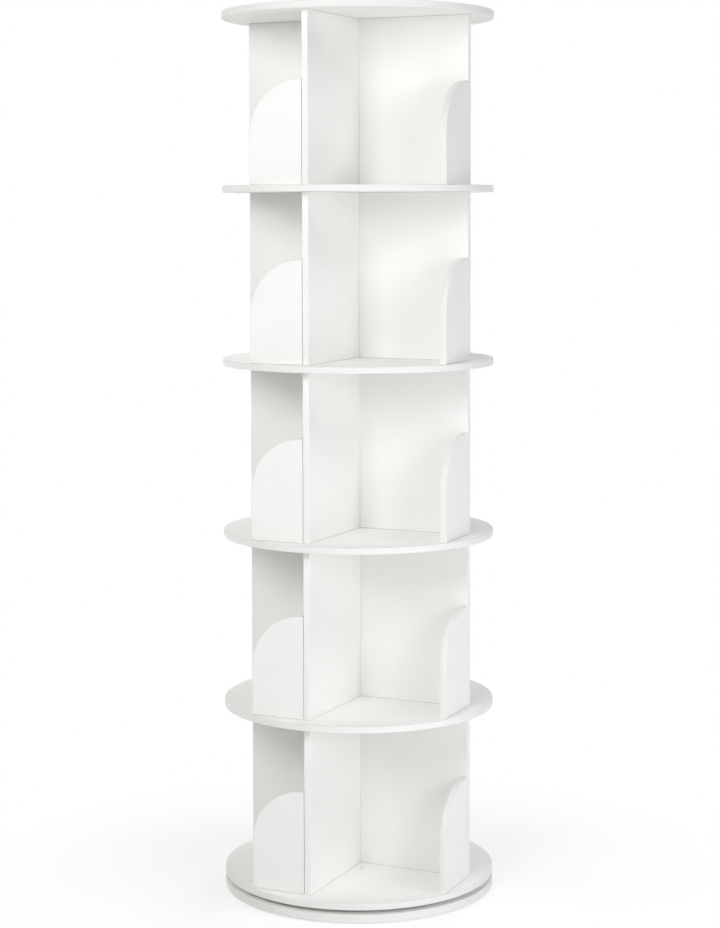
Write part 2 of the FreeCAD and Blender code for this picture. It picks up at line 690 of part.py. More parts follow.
def make_dowels(tiers):
    """Dowels of the crossed boards and of the stops."""
    grip = "Dimensions.board_dowel_grip"
    upright_dowels("bottom_dowels", shelf_level(0), "0", f"Dimensions.disc_thickness + {grip}", 1)
    upright_dowels("middle_dowels", shelf_level(1), f"-{grip}",
                   f"Dimensions.disc_thickness + 2 * {grip}", tiers - 1)
    upright_dowels("top_dowels", shelf_level(tiers), f"-{grip}",
                   f"Derived.top_dowel_depth + {grip}", 1)
    body = new_body("stop_dowels", floor_level(0))
    sketch = sketch_on(body, "XZ_Plane", "outline", "Derived.stop_dowel_inner")
    add_circle(sketch, ("Derived.stop_middle", "Derived.stop_dowel_rise"),
               "Derived.stop_dowel_diameter")
    pad(body, sketch, "dowel",
        "Derived.stop_near - Derived.stop_dowel_inner + Dimensions.stop_dowel_grip")
    repeat_all(body, ARM_COUNT, tiers, "Derived.tier_pitch")


def check_document():
    """Stop where an object failed, a cut removed nothing or a sub-part is not sound."""
    for item in doc.Objects:
        if "Invalid" in item.State or "Error" in item.State:
            raise RuntimeError(f"{item.Label} failed")
        if item.TypeId in ("PartDesign::Pocket", "PartDesign::Groove"):
            if item.Shape.Volume >= item.BaseFeature.Shape.Volume:
                raise RuntimeError(f"{item.Label} cuts nothing")
    for body in sub_parts:
        if body.Shape.isNull() or not body.Shape.isValid():
            raise RuntimeError(f"{body.Label} has no sound shape")


def write_parts():
    """One file for each sub-part."""
    os.makedirs("parts", exist_ok=True)
    for body in sub_parts:
        body.Shape.exportStep(os.path.join("parts", f"{body.Label}.step"))
        print(body.Label, len(body.Shape.Solids), round(body.Shape.Volume, 1))


tier_total = count("tier_count")
make_base()
make_pads()
make_lower_ring()
make_upper_plate()
make_balls()
make_cage()
for shelf in range(tier_total + 1):
    make_shelf(shelf, tier_total)
for tier_index in range(tier_total):
    make_cross_board(tier_index, True)
    make_cross_board(tier_index, False)
    for arm_index in range(ARM_COUNT):
        make_stop(tier_index, arm_index)
make_bearing_screws()
make_board_screws(tier_total)
make_stop_screws(tier_total)
make_dowels(tier_total)
doc.recompute()
check_document()
write_parts()
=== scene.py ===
"""Dressed model of the rotating media tower: finishes, end stops, fine hardware, studio and camera.

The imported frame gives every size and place. Lengths are metres; a name that ends in _mm is millimetres.
"""

import logging
import math
from collections.abc import Sequence
from dataclasses import dataclass, replace
from enum import Enum
from typing import Any

import bmesh
import bpy
from mathutils import Matrix, Vector


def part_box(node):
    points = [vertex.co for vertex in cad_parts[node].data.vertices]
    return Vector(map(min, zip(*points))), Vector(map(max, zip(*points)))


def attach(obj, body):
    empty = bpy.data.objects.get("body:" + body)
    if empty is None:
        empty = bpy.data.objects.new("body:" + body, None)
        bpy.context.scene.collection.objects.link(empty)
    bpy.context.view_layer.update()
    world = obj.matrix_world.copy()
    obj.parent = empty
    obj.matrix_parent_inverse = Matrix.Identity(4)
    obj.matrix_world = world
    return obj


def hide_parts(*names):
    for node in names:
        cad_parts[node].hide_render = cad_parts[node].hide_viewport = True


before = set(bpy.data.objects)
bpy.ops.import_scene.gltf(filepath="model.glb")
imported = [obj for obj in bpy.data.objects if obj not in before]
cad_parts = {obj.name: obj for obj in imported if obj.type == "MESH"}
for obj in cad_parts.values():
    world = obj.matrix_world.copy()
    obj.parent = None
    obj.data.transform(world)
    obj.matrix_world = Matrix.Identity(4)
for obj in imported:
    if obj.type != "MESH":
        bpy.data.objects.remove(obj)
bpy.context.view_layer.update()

MM = 0.001
TIERS = 5
ARMS = 4
WELD = 1e-6
SHARP_ANGLE = math.radians(32)
# Upright part of a normal beyond which a face counts as level.
LEVEL = 0.5
# Detail of the slow drift in a colour.
CLOUD_LAYERS = 3.0
# Values that most of a noise lies between.
NOISE_LOW, NOISE_HIGH = 0.3, 0.7
RELIEF_STRENGTH = 0.6

Node = bpy.types.Node
Socket = bpy.types.NodeSocket
# What feeds an input: a socket, or a node, which stands for its first output in use.
Source = Node | Socket
Inputs = dict[str | int, Any]
Box = tuple[Vector, Vector]
Corners = Sequence[tuple[Any, Any, Any]]

log = logging.getLogger("media_tower")


def linear(colour: str) -> tuple[float, float, float, float]:
    """Turn an sRGB hex colour into linear values.

    Args:
        colour: Six hex digits after a hash.

    Returns:
        Linear red, green and blue, and an alpha of one.
    """
    parts = [int(colour[i:i + 2], 16) / 255 for i in (1, 3, 5)]
    red, green, blue = (c / 12.92 if c <= 0.04045 else ((c + 0.055) / 1.055) ** 2.4 for c in parts)
    return (red, green, blue, 1.0)


def pattern_scale(size_mm: float) -> float:
    """Texture scale at which one cell of a pattern has a real size."""
    return 1 / (size_mm * MM)


class TreeBuilder:
    """Adds nodes to a shader or geometry tree.

    Attributes:
        tree: The tree.
    """

    def __init__(self, tree: bpy.types.NodeTree) -> None:
        """Work on a tree."""
        self.tree = tree

    def feed(self, node: Node, inputs: Inputs) -> None:
        """Give inputs of a node values or links.

        Args:
            node: The node.
            inputs: Input in use, by name or number, to a constant, to its source or to a list of sources.
        """
        in_use = {socket.name: socket for socket in node.inputs if socket.enabled}
        for name, value in inputs.items():
            socket = node.inputs[name] if isinstance(name, int) else in_use[name]
            for source in value if isinstance(value, list) else [value]:
                if isinstance(source, Node):
                    source = next(output for output in source.outputs if output.enabled)
                if isinstance(source, Socket):
                    self.tree.links.new(source, socket)
                else:
                    socket.default_value = source

    def add(self, kind: str, inputs: Inputs | None = None, **settings: Any) -> Node:
        """Add a node with its settings and links.

        Args:
            kind: Type name of the node.
            inputs: What its inputs get.
            settings: Its properties, by name.

        Returns:
            The new node.
        """
        node = self.tree.nodes.new(kind)
        for name, value in settings.items():
            setattr(node, name, value)
        self.feed(node, inputs or {})
        return node


class ShaderTree(TreeBuilder):
    """Shader nodes of a material or of the world."""

    def __init__(self, owner: bpy.types.Material | bpy.types.World) -> None:
        """Start with no nodes.

        Args:
            owner: Material or world that gets them.
        """
        owner.use_nodes = True
        super().__init__(owner.node_tree)
        self.tree.nodes.clear()

    def radius(self) -> Node:
        """Measure from the turning axis.

        Returns:
            Node that gives the distance.
        """
        spot = self.add("ShaderNodeTexCoord").outputs["Object"]
        flat = self.add("ShaderNodeVectorMath", {0: spot, 1: (1, 1, 0)}, operation="MULTIPLY")
        return self.add("ShaderNodeVectorMath", {0: flat}, operation="LENGTH")

    def seen(self) -> Node:
        """Tell the rays that show the background, in view, in gloss or through glass, from the others.

        Returns:
            Node that gives one for them, and else zero.
        """
        path = self.add("ShaderNodeLightPath").outputs
        rays = {0: path["Is Camera Ray"], 1: path["Is Glossy Ray"]}
        direct = self.add("ShaderNodeMath", rays, operation="MAXIMUM")
        return self.add("ShaderNodeMath", {0: direct, 1: path["Is Transmission Ray"]}, operation="MAXIMUM")


@dataclass(frozen=True)
class Finish:
    """A surface: a named material with a slow drift in colour and a fine grain.

    Attributes:
        title: Name of the material.
        colour: Main colour, sRGB hex.
        shade: Colour that the drift goes to.
        roughness: Middle value of the roughness.
        swing: How far the roughness goes up and down with the grain.
        metallic: One for bare metal.
        ior: Refractive index of a surface that is no metal.
        cloud_mm: Size of the drift.
        grain_mm: Size of the grain.
        relief_mm: Height of the grain.
        grain_layers: Detail of the grain.
    """

    title: str
    colour: str
    shade: str
    roughness: float = 0.5
    swing: float = 0.05
    metallic: float = 0.0
    ior: float = 1.5
    cloud_mm: float = 20.0
    grain_mm: float = 1.0
    relief_mm: float = 0.02
    grain_layers: float = 2.0

    def material(self) -> bpy.types.Material:
        """Build the material, or find it where it exists.

        Returns:
            The material of this finish.
        """
        known = bpy.data.materials.get(self.title)
        if known:
            return known
        material = bpy.data.materials.new(self.title)
        nodes = ShaderTree(material)
        cloud, grain = self.cloud(nodes), self.grain(nodes)
        tint, gloss = self.surface(nodes, cloud, grain)
        bump = nodes.add("ShaderNodeBump", {
            "Height": grain, "Distance": self.relief_mm * MM, "Strength": RELIEF_STRENGTH,
        })
        shader = nodes.add("ShaderNodeBsdfPrincipled", {
            "Base Color": tint, "Roughness": gloss, "Normal": bump,
            "Metallic": self.metallic, "IOR": self.ior,
        })
        nodes.add("ShaderNodeOutputMaterial", {"Surface": shader})
        return material

    def cloud(self, nodes: ShaderTree) -> Node:
        """Slow drift.

        Args:
            nodes: Tree of the material.

        Returns:
            Node of the drift.
        """
        spot = nodes.add("ShaderNodeTexCoord").outputs["Object"]
        return nodes.add("ShaderNodeTexNoise", {
            "Vector": spot, "Scale": pattern_scale(self.cloud_mm), "Detail": CLOUD_LAYERS,
        })

    def grain(self, nodes: ShaderTree) -> Node:
        """Fine grain, as moulded, plated or pressed things have it.

        Args:
            nodes: Tree of the material.

        Returns:
            Node of the grain.
        """
        spot = nodes.add("ShaderNodeTexCoord").outputs["Object"]
        return nodes.add("ShaderNodeTexNoise", {
            "Vector": spot, "Scale": pattern_scale(self.grain_mm), "Detail": self.grain_layers,
        })

    def surface(self, nodes: ShaderTree, cloud: Node, grain: Node) -> tuple[Node, Node]:
        """Colour that follows the drift, and roughness that follows the grain.

        Args:
            nodes: Tree of the material.
            cloud: Node of the drift.
            grain: Node of the grain.

        Returns:
            Nodes that give the colour and the roughness.
        """
        tint = nodes.add("ShaderNodeMix", {
            "Factor": cloud, "A": linear(self.colour), "B": linear(self.shade),
        }, data_type="RGBA")
        gloss = nodes.add("ShaderNodeMapRange", {
            "Value": grain, "From Min": NOISE_LOW, "From Max": NOISE_HIGH,
            "To Min": self.roughness - self.swing, "To Max": self.roughness + self.swing,
        })
        return tint, gloss


# Thick PVC strip, extruded and trimmed: an even white, as matt as the faces it closes.
EDGE_BAND = Finish("White PVC edge band, extruded", "#F5F5F2", "#F3F3F0", 0.6, 0.04, ior=1.53,
                   cloud_mm=60.0, grain_mm=2.0, relief_mm=0.006)

# The strip bent round the shelves and the stops: the same band, a shade greyer.
BENT_BAND = replace(EDGE_BAND, title="White PVC edge band, extruded and bent",
                    colour="#EFEFEB", shade="#EDEDE9")

# Sawn chipboard: pale brown chips and darker gaps, dull and rough. It is raw on hidden edges and on the small
# chamfers where boards and stops meet a shelf; there its darkened tone also paints the shade of the contact
# lines.
CHIPBOARD_AND_CONTACT_SHADE = Finish("Raw chipboard, sawn", "#A39A8B", "#7D7468", 0.88, 0.06,
                       cloud_mm=3.0, grain_mm=1.2, relief_mm=0.15, grain_layers=4.0)

# Zinc on small screws: a bluish grey metal, satin, with cloudy patches from the bath.
ZINC_SCREW = Finish("Screw steel, zinc-plated", "#C2C6CA", "#A9AEB3", 0.32, 0.1, 1.0,
                    cloud_mm=4.0, grain_mm=0.6, relief_mm=0.01)

# Screws that show on the lowest shelf: steel under a satin white lacquer, with a faint orange peel.
LACQUERED_SCREW = Finish("Screw steel, white lacquer", "#EDEDEA", "#E8E8E5", 0.45, 0.05,
                         cloud_mm=4.0, grain_mm=0.8, relief_mm=0.015)

# Bearing balls: hardened steel, lapped to a mirror, with hair-fine haze.
LAPPED_STEEL = Finish("Ball steel, lapped and polished", "#CDD0D3", "#C1C5C9", 0.08, 0.03, 1.0,
                      cloud_mm=3.0, grain_mm=0.5, relief_mm=0.001)

# Nylon cage: an off-white, waxy plastic with the dull skin of the mould.
MOULDED_NYLON = Finish("Natural nylon, injection-moulded", "#E8E4D8", "#DDD8CA", 0.45, 0.05, ior=1.53,
                       cloud_mm=25.0, grain_mm=1.2, relief_mm=0.015)

# Screw caps: white polypropylene with the fine spark texture of the mould.
MOULDED_CAP = Finish("White polypropylene, injection-moulded", "#F2F2F0", "#EDEDEA", 0.42, 0.05, ior=1.49,
                     cloud_mm=8.0, grain_mm=0.7)

# Foot pads: dark grey foamed rubber, cut from sheet, dead matt with open cells.
FOAM_RUBBER = Finish("Foamed rubber, die-cut", "#3A3A3B", "#2C2C2D", 0.9, 0.05, ior=1.52,
                     cloud_mm=6.0, relief_mm=0.2, grain_layers=4.0)


class BandPlace(Enum):
    """Where a board has its glued edge band."""

    RIM = "round the rim"
    ENDS = "on the two upright ends"
    APART = "a strip of its own"


@dataclass(frozen=True)
class PressedMelamine(Finish):
    """White melamine paper, hot-pressed on chipboard between matt steel plates.

    It gives an even white with a soft sheen and a fine pearl grain. The real grain is about a millimetre
    wide. It is drawn coarser, so that it shows at this distance.

    Attributes:
        band: Finish of the band.
        band_place: Edge that has the band.
        band_at_mm: Distance of the banded edge from the axis.
        band_mm: Thickness of the band.
        glue: Colour of the line between face and band.
        glue_mm: Width of the glue line.
    """

    title: str = "White melamine, hot-pressed"
    colour: str = "#F8F8F4"
    shade: str = "#F5F5F1"
    swing: float = 0.06
    cloud_mm: float = 70.0
    grain_mm: float = 2.5
    band: Finish = EDGE_BAND
    band_place: BandPlace = BandPlace.APART
    band_at_mm: float = 0.0
    band_mm: float = 1.0
    glue: str = "#C9C5BD"
    glue_mm: float = 0.15

    def edge_distance(self, nodes: ShaderTree) -> Node:
        """Measure outwards from the axis, towards the banded edge.

        Args:
            nodes: Tree of the material.

        Returns:
            Node that gives the distance in metres.
        """
        if self.band_place is BandPlace.RIM:
            return nodes.radius()
        spot = nodes.add("ShaderNodeTexCoord").outputs["Object"]
        whole = nodes.add("ShaderNodeVectorMath", {0: spot}, operation="ABSOLUTE")
        parts = nodes.add("ShaderNodeSeparateXYZ", {0: whole}).outputs
        return nodes.add("ShaderNodeMath", {0: parts["X"], 1: parts["Y"]}, operation="MAXIMUM")

    def raw_edge_and_contact_shade(self, nodes: ShaderTree, grain: Node, tint: Node) -> Node:
        """Show the chipboard on the edges that stand on a shelf or carry one. On their chamfers its dark tone
        also paints the shade of the contact line.

        Args:
            nodes: Tree of the material.
            grain: Node of the pressed grain, which the chips follow.
            tint: Node that gives the colour of the faces.

        Returns:
            Node that gives the colour of faces and raw edges.
        """
        facing = nodes.add("ShaderNodeNewGeometry").outputs["Normal"]
        upright = nodes.add("ShaderNodeSeparateXYZ", {0: facing}).outputs["Z"]
        either_way = nodes.add("ShaderNodeMath", {0: upright}, operation="ABSOLUTE")
        sawn = nodes.add("ShaderNodeMath", {0: either_way, 1: LEVEL}, operation="GREATER_THAN")
        chips = nodes.add("ShaderNodeMix", {
            "Factor": grain, "A": linear(CHIPBOARD_AND_CONTACT_SHADE.colour), "B": linear(CHIPBOARD_AND_CONTACT_SHADE.shade),
        }, data_type="RGBA")
        return nodes.add("ShaderNodeMix", {"Factor": sawn, "A": tint, "B": chips}, data_type="RGBA")

    def surface(self, nodes: ShaderTree, cloud: Node, grain: Node) -> tuple[Node, Node]:
        """Add the band with its glue line, and the raw edges.

        Args:
            nodes: Tree of the material.
            cloud: Node of the drift.
            grain: Node of the pressed grain.

        Returns:
            Nodes that give the colour and the roughness.
        """
        tint, gloss = super().surface(nodes, cloud, grain)
        if self.band_place is not BandPlace.APART:
            distance = self.edge_distance(nodes)
            seam = (self.band_at_mm - self.band_mm) * MM
            in_band = nodes.add("ShaderNodeMath", {0: distance, 1: seam}, operation="GREATER_THAN")
            in_glue = nodes.add("ShaderNodeMath", {
                0: distance, 1: seam, 2: self.glue_mm * MM / 2,
            }, operation="COMPARE")
            for place, colour in ((in_band, self.band.colour), (in_glue, self.glue)):
                tint = nodes.add("ShaderNodeMix", {
                    "Factor": place, "A": tint, "B": linear(colour),
                }, data_type="RGBA")
            gloss = nodes.add("ShaderNodeMix", {
                "Factor": in_band, "A": gloss, "B": self.band.roughness,
            }, data_type="FLOAT")
        # Upper and lower faces and their chamfers get dark chipboard, which also paints the shade of the
        # contact lines.
        if self.band_place is BandPlace.ENDS:
            tint = self.raw_edge_and_contact_shade(nodes, grain, tint)
        return tint, gloss


@dataclass(frozen=True)
class TurnedSteel(Finish):
    """Steel ring, turned on a lathe and zinc-plated.

    It gives a satin grey metal with fine rings round the axis and cloudy patches. The lathe feeds about a
    quarter of a millimetre a turn. The marks are drawn wider, so that they show.
    """

    title: str = "Bearing steel, turned and zinc-plated"
    colour: str = "#C0C4C7"
    shade: str = "#A8ADB1"
    roughness: float = 0.3
    swing: float = 0.1
    metallic: float = 1.0
    cloud_mm: float = 15.0
    grain_mm: float = 0.8
    grain_layers: float = 1.0

    def grain(self, nodes: ShaderTree) -> Node:
        """Turning marks.

        Args:
            nodes: Tree of the material.

        Returns:
            Node of the marks.
        """
        return nodes.add("ShaderNodeTexNoise", {
            "W": nodes.radius(), "Scale": pattern_scale(self.grain_mm), "Detail": self.grain_layers,
        }, noise_dimensions="1D")


@dataclass(frozen=True)
class TurnedBeech(Finish):
    """Beech rod, turned and fluted: a pale brown with dull, darker streaks along the dowel.

    Attributes:
        grain_attribute: Attribute with the place along and across the dowel.
        stretch: How much longer than wide the grain is.
    """

    title: str = "Beech, turned and fluted"
    colour: str = "#DDBB91"
    shade: str = "#C79F70"
    roughness: float = 0.6
    swing: float = 0.08
    grain_mm: float = 0.8
    relief_mm: float = 0.05
    grain_layers: float = 3.0
    grain_attribute: str = "grain"
    stretch: float = 12.0

    def cloud(self, nodes: ShaderTree) -> Node:
        """The colour follows the grain."""
        return self.grain(nodes)

    def grain(self, nodes: ShaderTree) -> Node:
        """Wood grain.

        Args:
            nodes: Tree of the material.

        Returns:
            Node of the grain.
        """
        spot = nodes.add("ShaderNodeAttribute", attribute_name=self.grain_attribute).outputs["Vector"]
        squeeze = (1, 1 / self.stretch, 1)
        along = nodes.add("ShaderNodeVectorMath", {0: spot, 1: squeeze}, operation="MULTIPLY")
        return nodes.add("ShaderNodeTexNoise", {
            "Vector": along, "Scale": pattern_scale(self.grain_mm), "Detail": self.grain_layers,
        })


class ShapeTree(TreeBuilder):
    """Geometry Nodes tree with named sizes, run to give plain meshes.

    Attributes:
        fixed: Sizes that every piece shares, by name.
        keys: Identifier of each size's input, by name.
        start: Socket with the points that the tree starts from.
        size: Socket of each size, by name.
    """

    def __init__(self, title: str, given: Sequence[str], **fixed_mm: float) -> None:
        """Start a tree.

        Args:
            title: Name of the tree.
            given: Names of the sizes that each piece gives, in metres or radians.
            fixed_mm: Sizes that every piece shares.
        """
        super().__init__(bpy.data.node_groups.new(title, "GeometryNodeTree"))
        self.fixed = {name: size * MM for name, size in fixed_mm.items()}
        sockets = self.tree.interface
        for way in ("INPUT", "OUTPUT"):
            sockets.new_socket("Geometry", in_out=way, socket_type="NodeSocketGeometry")
        self.keys = {
            name: sockets.new_socket(name, in_out="INPUT", socket_type="NodeSocketFloat").identifier
            for name in (*given, *self.fixed)
        }
        entry = self.add("NodeGroupInput").outputs
        self.start = entry["Geometry"]
        self.size = {name: entry[name] for name in self.keys}

    def outline(self, corners: Corners, closed: bool, steps: int) -> Node:
        """Line through corners in the XY plane, each rounded by a radius of its own.

        Args:
            corners: Place across, place along and radius of each corner.
            closed: Whether the last corner joins the first.
            steps: Straight runs in each rounding.

        Returns:
            Node that gives the curve.
        """
        row = self.add("GeometryNodeMeshLine", {"Count": len(corners)})
        number = self.add("GeometryNodeInputIndex")
        spots = [self.add("ShaderNodeCombineXYZ", {"X": across, "Y": along}) for across, along, _ in corners]
        picked = []
        for data_type, values in (("VECTOR", spots), ("FLOAT", [radius for _, _, radius in corners])):
            switch = self.add("GeometryNodeIndexSwitch", data_type=data_type)
            while len(switch.index_switch_items) < len(values):
                switch.index_switch_items.new()
            self.feed(switch, {"Index": number, **dict(enumerate(values, 1))})
            picked.append(switch)
        spot, radius = picked
        placed = self.add("GeometryNodeSetPosition", {"Geometry": row, "Position": spot})
        curve = self.add("GeometryNodeMeshToCurve", {"Mesh": placed})
        ring = self.add("GeometryNodeSetSplineCyclic", {"Geometry": curve, "Cyclic": closed})
        return self.add("GeometryNodeFilletCurve", {
            "Curve": ring, "Count": steps, "Radius": radius,
        }, mode="POLY")

    def sweep(self, path: Source, profile: Source, caps: bool) -> Node:
        """Carry a profile along a path that keeps upright.

        Args:
            path: What gives the path.
            profile: What gives the profile.
            caps: Whether the ends are closed.

        Returns:
            Node that gives the mesh.
        """
        upright = self.add("GeometryNodeSetCurveNormal", {"Curve": path}, mode="Z_UP")
        return self.add("GeometryNodeCurveToMesh", {
            "Curve": upright, "Profile Curve": profile, "Fill Caps": caps,
        })

    def lathe(self, corners: Corners, segments: int, steps: int) -> Node:
        """Turn a profile round the Z axis.

        Args:
            corners: Radius, depth below the top, and rounding of each corner, starting on the axis.
            segments: Straight runs round the axis.
            steps: Straight runs in each rounding.

        Returns:
            Node that gives a closed mesh whose top is at zero.
        """
        # The path is a tiny circle, so the profile is moved in by its radius.
        hub = MM
        profile = self.outline(corners, False, steps)
        moved = self.add("GeometryNodeTransform", {"Geometry": profile, "Translation": (-hub, 0, 0)})
        circle = self.add("GeometryNodeCurvePrimitiveCircle", {"Resolution": segments, "Radius": hub})
        turned = self.sweep(circle, moved, False)
        return self.add("GeometryNodeMergeByDistance", {"Geometry": turned, "Distance": WELD})

    def output(self, geometry: Source, *finishes: tuple[Finish, Any]) -> None:
        """End the tree with sharp edges, real geometry and materials.

        Args:
            geometry: What gives the shape.
            finishes: Finish and the faces that get it, each over the one before.
        """
        real = self.add("GeometryNodeRealizeInstances", {"Geometry": geometry})
        angle = self.add("GeometryNodeInputMeshEdgeAngle")
        soft = self.add("FunctionNodeCompare", {
            "A": angle, "B": SHARP_ANGLE,
        }, data_type="FLOAT", operation="LESS_THAN")
        shaded = self.add("GeometryNodeSetShadeSmooth", {
            "Geometry": real, "Shade Smooth": soft,
        }, domain="EDGE")
        for finish, faces in finishes:
            shaded = self.add("GeometryNodeSetMaterial", {
                "Geometry": shaded, "Selection": faces, "Material": finish.material(),
            })
        self.add("NodeGroupOutput", {"Geometry": shaded})

    def bake(
        self, name: str, sizes: dict[str, float], points: Sequence[Vector] = (), axes: Sequence[Vector] = (),
    ) -> bpy.types.Object:
        """Run the tree and keep its result as a plain mesh.

        Args:
            name: Name of the piece.
            sizes: Sizes that the piece gives.
            points: Points that the tree starts from.
            axes: Direction at each point, where the tree reads one.

        Returns:
            The piece, with no modifier on it.
        """
        source = bpy.data.meshes.new(name)
        source.from_pydata(points, [], [])
        if axes:
            directions = source.attributes.new("axis", "FLOAT_VECTOR", "POINT")
            directions.data.foreach_set("vector", [part for axis in axes for part in axis])
        piece = bpy.data.objects.new(name, source)
        bpy.context.scene.collection.objects.link(piece)
        modifier = piece.modifiers.new("Shape", "NODES")
        modifier.node_group = self.tree
        for size, value in (self.fixed | sizes).items():
            modifier[self.keys[size]] = value
        evaluated = piece.evaluated_get(bpy.context.evaluated_depsgraph_get())
        mesh = bpy.data.meshes.new_from_object(evaluated)
        if mesh.materials[0] is None:
            mesh.materials.pop(index=0)
        piece.modifiers.remove(modifier)
        piece.data = mesh
        bpy.data.meshes.remove(source)
        mesh.name = name
        return piece


def solid_boxes(node: str) -> list[Box]:
    """Boxes of the separate solids in a node of the frame.

    Args:
        node: Name of the node.

    Returns:
        Lowest and highest corner of each solid, in order of height and place.
    """
    mesh = bmesh.new()
    mesh.from_mesh(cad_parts[node].data)
    bmesh.ops.remove_doubles(mesh, verts=mesh.verts, dist=WELD)
    boxes = []
    waiting = set(mesh.verts)
    while waiting:
        reached = [waiting.pop()]
        for vert in reached:
            near = {edge.other_vert(vert) for edge in vert.link_edges} & waiting
            waiting -= near
            reached.extend(near)
        places = list(zip(*(vert.co for vert in reached)))
        boxes.append((Vector(map(min, places)), Vector(map(max, places))))
    mesh.free()
    return sorted(boxes, key=lambda box: [round(part, 4) for part in (box[0].z, box[0].x, box[0].y)])


def end_points(boxes: Sequence[Box], above: bool) -> list[Vector]:
    """Middle of the upper or lower end of each box."""
    return [Vector(((low.x + high.x) / 2, (low.y + high.y) / 2, (high if above else low).z))
            for low, high in boxes]


def hand_over(piece: bpy.types.Object, body: str, slot: str, *nodes: str) -> None:
    """Put a finished piece in the place of nodes of the frame.

    Args:
        piece: The piece.
        body: Body that it moves with.
        slot: Material slot of the record. Not used.
        nodes: Nodes that it stands for.
    """
    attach(piece, body)
    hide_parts(*nodes)
    log.info("built %s, %d faces, in place of %s", piece.name, len(piece.data.polygons), ", ".join(nodes))


def dress_node(name: str, finish: Finish) -> None:
    """Give a node of the frame its finish."""
    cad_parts[name].data.materials[0] = finish.material()
    log.info("dressed %s with %s", name, finish.title)


@dataclass
class BoardGroup:
    """Boards of one kind.

    Attributes:
        names: Nodes of the boards.
        finish: Their finish, but for the place of the band.
    """

    names: tuple[str, ...]
    finish: PressedMelamine

    def dress(self) -> None:
        """Give the boards their finish, with the band at the reach that they share."""
        reach = max(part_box(self.names[0])[1].xy)
        for name in self.names:
            dress_node(name, replace(self.finish, band_at_mm=reach / MM))


# Base, shelves and top, banded on the rim. Their white is a lighter copy of the uprights' melamine: painted
# light that brightens the shelf tops.
ROUND_BOARDS = BoardGroup(
    ("base_disc", *(f"shelf_{tier + 1}" for tier in range(TIERS)), "top_board"),
    PressedMelamine("White melamine, hot-pressed, rim banded", "#FBFBF7", "#F8F8F4",
                    band=BENT_BAND, band_place=BandPlace.RIM),
)
# Two upright boards a tier, banded on their ends. The lower one's slot is open at the top, the upper
# one's at the bottom.
CROSS_BOARDS = BoardGroup(
    tuple(f"tier_{tier + 1}_{slot}_cross_board" for slot in ("lower", "upper") for tier in range(TIERS)),
    PressedMelamine("White melamine, hot-pressed, ends banded", band_place=BandPlace.ENDS),
)


